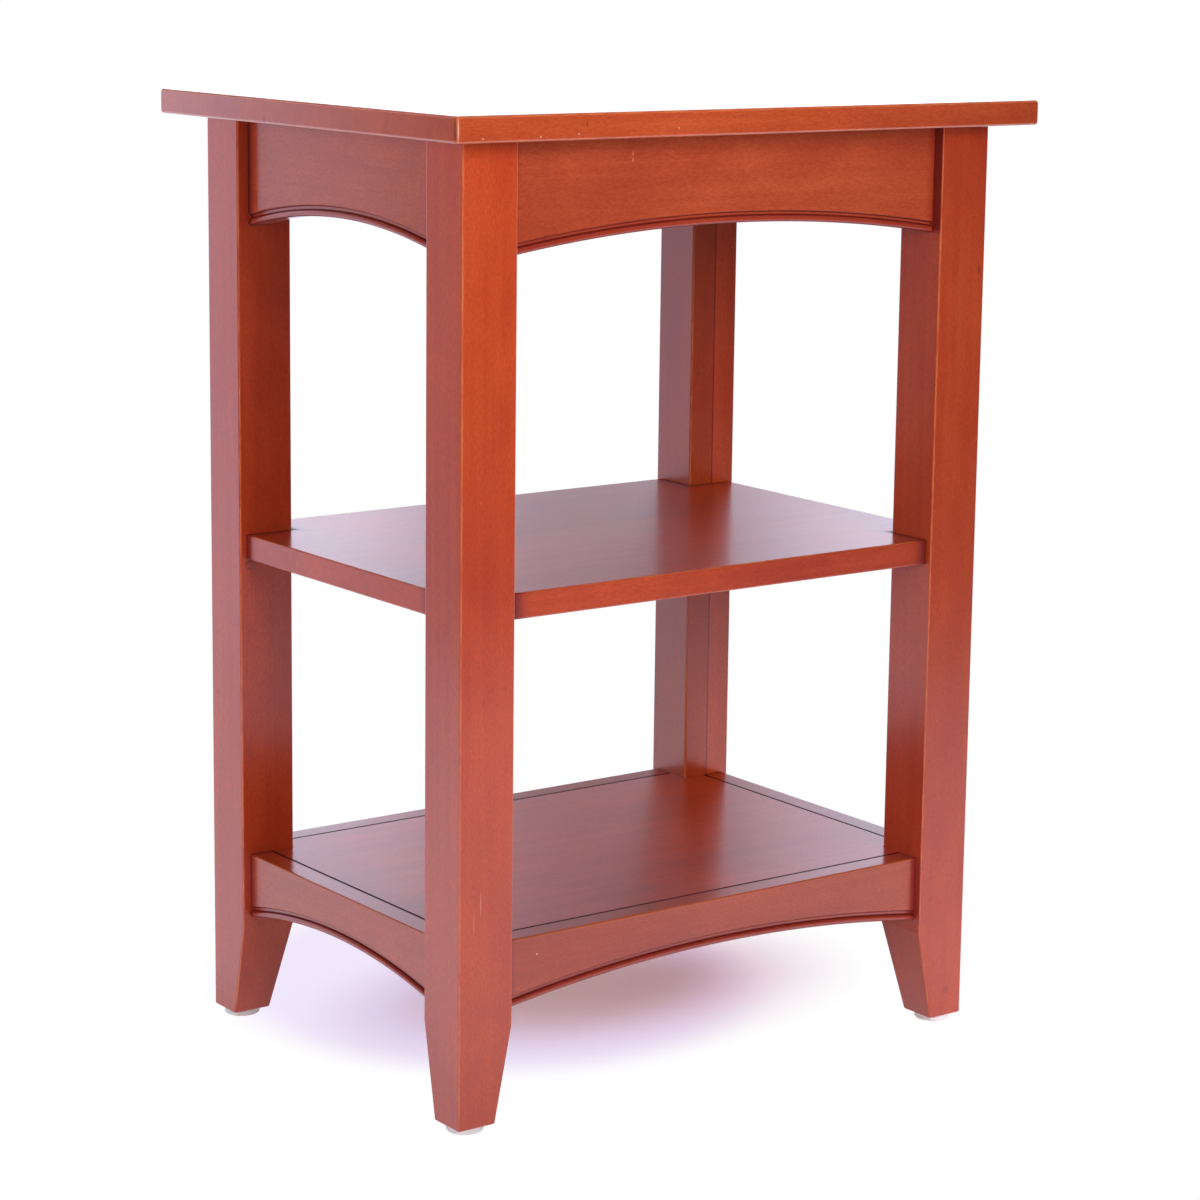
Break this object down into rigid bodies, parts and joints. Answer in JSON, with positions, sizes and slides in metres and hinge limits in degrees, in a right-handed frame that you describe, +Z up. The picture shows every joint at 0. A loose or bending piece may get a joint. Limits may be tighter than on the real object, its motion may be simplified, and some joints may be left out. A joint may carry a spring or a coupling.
{
  "type": "end table with shelves",
  "caption": "Rectangular wooden end table: overhanging top, square legs with tapered feet, arched aprons and rails with a bead, a middle shelf and a framed bottom shelf.",
  "frame": {"origin": "on the floor, under the centre of the table", "axes": "+X along the long side, to the right seen from the front; +Y from front to back; +Z up"},
  "size_m": [0.5, 0.386, 0.6885],
  "materials": {
    "top_wood": "cherry-stained hardwood, satin lacquer, grain along X",
    "leg_wood": "cherry-stained hardwood, satin lacquer, grain along Z",
    "apron_wood": "cherry-stained hardwood, satin lacquer, grain along X",
    "side_apron_wood": "cherry-stained hardwood, satin lacquer, grain along Y",
    "rail_wood": "cherry-stained hardwood, satin lacquer, grain along X",
    "side_rail_wood": "cherry-stained hardwood, satin lacquer, grain along Y",
    "shelf_wood": "cherry-stained board, satin lacquer, grain along X",
    "panel_wood": "cherry-stained board, satin lacquer, grain along X",
    "cleat_wood": "thinly stained softwood, unpolished",
    "block_wood": "thinly stained softwood, unpolished",
    "dowel_wood": "bare beech",
    "pin_wood": "cherry-stained hardwood, satin lacquer",
    "screw_steel": "zinc plated, bright",
    "nail_steel": "bright",
    "glide_plastic": "smooth translucent grey nylon"
  },
  "bodies": {
    "root": {"top_board": "top_wood", "middle_shelf": "shelf_wood", "bottom_panel": "panel_wood", "leg_front_left": "leg_wood", "leg_front_right": "leg_wood", "leg_back_left": "leg_wood", "leg_back_right": "leg_wood", "apron_front": "apron_wood", "rail_front": "rail_wood", "cleat_front": "cleat_wood", "apron_back": "apron_wood", "rail_back": "rail_wood", "cleat_back": "cleat_wood", "apron_left": "side_apron_wood", "rail_left": "side_rail_wood", "cleat_left": "cleat_wood", "apron_right": "side_apron_wood", "rail_right": "side_rail_wood", "cleat_right": "cleat_wood", "corner_block_front_left": "block_wood", "corner_block_front_right": "block_wood", "corner_block_back_left": "block_wood", "corner_block_back_right": "block_wood", "glide_front_left": "glide_plastic", "glide_front_right": "glide_plastic", "glide_back_left": "glide_plastic", "glide_back_right": "glide_plastic", "apron_dowels": "dowel_wood", "rail_dowels": "dowel_wood", "middle_shelf_dowels": "dowel_wood", "middle_shelf_pins": "pin_wood", "corner_block_screws": "screw_steel", "top_screws": "screw_steel", "cleat_screws": "screw_steel", "panel_screws": "screw_steel", "glide_nails": "nail_steel"}
  },
  "joints": []
}
